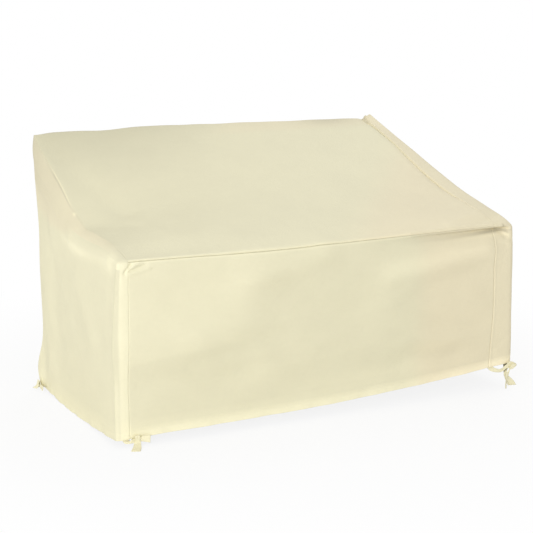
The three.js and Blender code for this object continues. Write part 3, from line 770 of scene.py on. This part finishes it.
# --- Ties -----------------------------------------------------------------------------------------
# Cotton tapes, two at each corner, sewn inside the hem and crossed in a half knot round the leg.
# A row is a place on the middle of a tape and the way from there to its edge, in millimetres from
# the hem's inner face at a point of the box; the first row starts at the hem's stitches.
ties = {
    "front_left_long": ((-0.690, 0, 0), (
        (0, 1.7, 0, 12, 0, 0),
        (0, 1.7, 1, 12, 0, 0),
        (0, 0.6, -4.4, 12, 0, 0),
        (1, -5, -5.6, 10, 0, 0),
        (2, -8.8, 1, 8, 0, 0),
        (2, -9.4, 8, 8, 0, 0),
        (2, -11.8, 11, 8, 0, 0),
        (2, -14.2, 8, 8, 0, 0),
        (2, -14.8, -2, 9, 0, 0),
        (0, -16, -12, 12, 0, 1),
        (-4, -25, -16, 12, -2, 1),
        (-10, -37, -20, 13, -4, 0),
        (-21, -54, -23.5, 13, -6, 0),
    )),
    "front_left_short": ((-0.722, 0, 0), (
        (0, 1.7, 0, 10, 0, 0),
        (0, 1.7, 1, 10, 0, 0),
        (1.5, -0.5, -4.5, 10, 0, 1),
        (5.5, -6, -6.5, 8, -1, 4),
        (11, -10.8, -4.5, 4, -1, 6),
        (18, -11.9, -3, 1, 0, 6.5),
        (29, -12.1, -2, 0, 0, 5),
        (42, -12.4, -1, 0, 0, 6),
        (54, -14.4, 0.5, 0, 2, 9),
        (74, -19.4, -1.5, 2, 3, 11),
    )),
    "front_right_long": ((0.650, 0, 0), (
        (0, 1.7, 0, 12, 0, 0),
        (0, 1.7, 1, 12, 0, 0),
        (1, -0.5, -4, 11, 0, 2),
        (7, -6, -9, 8, 0, 5),
        (20, -10, -13, 3, 0, 6),
        (36, -11, -15, 0, 0, 6),
        (51, -11, -10, -1, 0, 6),
        (62, -12, -3, -1, 0, 7),
        (74, -12.5, 1, 0, 0, 12),
        (88, -12.5, 2, 0, 0, 9),
        (98, -13, 1, 0, 0, 4),
        (100.5, -15.5, 0, 0, 0, 3),
        (98, -18, -1, 0, 0, 4),
        (85, -18.5, -3, 0, 0, 9),
        (71, -19.5, -8, 4, 0, 8),
        (62, -20.5, -24, 6, 0, 3),
        (58, -21, -42, 5, 3, 0),
        (54, -22, -60, 4, 3, 0),
        (51, -26, -76, 4, 3, 0),
        (49, -30, -83, 4, 3, 0),
    )),
    "front_right_short": ((0.750, 0.036, 0), (
        (-1.7, 0, 0, 0, 12, 0),
        (-1.7, 0, 1, 0, 12, 0),
        (-4, -4, -10, 0, 12, -2),
        (-15, -22, -19, -3, 9, -4),
        (-26, -36, -26, -5, 4, -5),
        (-31, -41, -36, -6, 1, -2),
        (-26, -43, -48, -8, 1, -2),
        (-11, -43, -67, -13, 3, -3),
        (4, -40, -87, -14, 4, -2),
    )),
    "back_left_long": ((-0.750, 0.845, 0), (
        (1.7, 0, 0, 0, -12, 0),
        (1.7, 0, 1, 0, -12, 0),
        (0.6, 0, -4.4, 0, -12, 0),
        (-5, -1, -5.6, 0, -10, 0),
        (-8.8, -2, 1, 0, -8, 0),
        (-9.6, -2, 12, 0, -8, 0),
        (-12, -2, 20, 0, -8, 0),
        (-14.6, -1, 12, 0, -8, 0),
        (-16, 0, 2, 1, -9, 0),
        (-20, 3, -5, 3, -10, 0),
        (-26, 6, -9, 4, -10, 0),
    )),
    "back_left_short": ((-0.714, 0.900, 0), (
        (0, -1.7, 0, 12, 0, 0),
        (0, -1.7, 1, 12, 0, 0),
        (-3, -2, -10, 12, 0, 1),
        (-20, -5, -15, 8, -5, 2),
        (-34, -8, -15, 5, -4, 3),
        (-46, -11, -11, 2, -1, 5),
        (-51.4, -16, -5, 0, 0, 5),
        (-51.6, -23, -3, 0, 0, 4.5),
        (-51.5, -36, -3, 0, 0, 5),
        (-52.5, -56, -2, 1, 0, 7),
        (-54, -80, -4, 2, -2, 8),
    )),
}


def mirrored(rows):
    """Rows for the back, from those for the front."""
    return [(x, -y, z, edge_x, -edge_y, edge_z) for x, y, z, edge_x, edge_y, edge_z in rows]


ties["back_right_long"] = (0.650, 0.900, 0), mirrored(ties["front_right_long"][1])
ties["back_right_short"] = (0.750, 0.830, 0), mirrored(ties["front_right_short"][1])

cotton = bpy.data.materials.new("cotton_tape")
shader = Shader(cotton)
flat = shader.add("ShaderNodeUVMap", {"uv_map": "cloth"})[0]
parts = shader.add("ShaderNodeSeparateXYZ", None, {0: flat})
zigzag = shader.add("ShaderNodeMath", {"operation": "PINGPONG"}, {0: parts[0], 1: 0.003})[0]
ribs = (parts[1] + zigzag).wave(0.0012)
thread = shader.add("ShaderNodeTexNoise", None, {"Vector": flat, "Scale": 700.0, "Detail": 2.0})[0]
woven = shader.add(
    "ShaderNodeMix",
    {"data_type": "RGBA"},
    {0: ribs * 0.3 + thread * 0.7, 6: (0.91, 0.845, 0.575, 1), 7: (0.96, 0.92, 0.675, 1)},
)[2]
raised = shader.add(
    "ShaderNodeBump", None, {"Strength": 0.8, "Distance": 1.0, "Height": ribs * 0.00012}
)[0]
surface = shader.add(
    "ShaderNodeBsdfPrincipled", None, {"Base Color": woven, "Roughness": 0.85, "Normal": raised}
)[0]
shader.add("ShaderNodeOutputMaterial", None, {"Surface": surface})

CELLS_ACROSS, CELLS_PER_ROW = 12, 10
WOVEN_WIDTH = 0.024  # width of a tape in its own flat coordinates
WOVEN_STEP = 0.0012  # length of one of its cells in them
sewn_at = 0.032  # height on the box at which the tapes are sewn on
inner_face = -0.0022  # the hem's inner face, from the cloth's outer one

for name, (hem_place, rows) in ties.items():
    in_metres = np.array(rows) / 1000
    table = {"row": np.arange(len(rows))} | {part: in_metres[:, part] for part in range(6)}
    stitches, below = on_cloth([(*hem_place[:2], sewn_at), hem_place], inner_face)
    for part in range(3):
        table[part] = table[part] + np.where(table["row"] < 1, stitches[part], below[part])
    steps = CELLS_PER_ROW * (len(rows) - 1)
    shape = bmesh.new()
    layer = shape.loops.layers.uv.new("cloth")
    bmesh.ops.create_grid(shape, x_segments=CELLS_ACROSS, y_segments=steps, size=0.5)
    for face in shape.faces:
        for loop in face.loops:
            loop[layer].uv = loop.vert.co.x * WOVEN_WIDTH, loop.vert.co.y * steps * WOVEN_STEP
    mesh = bpy.data.meshes.new(f"{name}_tie")
    shape.to_mesh(mesh)
    shape.free()
    places = np.empty(3 * len(mesh.vertices))
    mesh.vertices.foreach_get("co", places)
    across, along, _ = places.reshape(-1, 3).T
    along = np.clip((along + 0.5) * (len(rows) - 1), 0, len(rows) - 1)
    middle = np.stack([read(table, part, along) for part in range(3)], axis=1)
    edge = np.stack([read(table, 3 + part, along) for part in range(3)], axis=1)
    ahead = np.stack([read(table, part, along + 0.01) for part in range(3)], axis=1)
    behind = np.stack([read(table, part, along - 0.01) for part in range(3)], axis=1)
    face = np.cross(ahead - behind, edge)
    face /= np.linalg.norm(face, axis=1)[:, None]
    gathered = np.clip(1 - np.linalg.norm(edge, axis=1) / 0.012, 0, 1)
    cupped = 0.0002 * np.sin(3.1 * along + 9 * across)
    cupped += 0.0010 * gathered * np.cos(17 * across + 0.3 * along)
    placed = middle + 2 * across[:, None] * edge + cupped[:, None] * face
    placed[:, 2] = np.maximum(placed[:, 2], ground + 0.0010)
    mesh.vertices.foreach_set("co", placed.ravel())
    mesh.shade_smooth()
    mesh.materials.append(cotton)
    tie = bpy.data.objects.new(f"{name}_tie", mesh)
    bpy.context.scene.collection.objects.link(tie)
    tape = tie.modifiers.new("tape", "SOLIDIFY")
    tape.thickness = 0.0012
    tape.offset = 0
    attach(tie, "root")
    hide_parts(f"tie_{name}")
    stations = np.linspace(0, len(rows) - 1, steps)
    course = np.stack([read(table, part, stations) for part in range(3)])
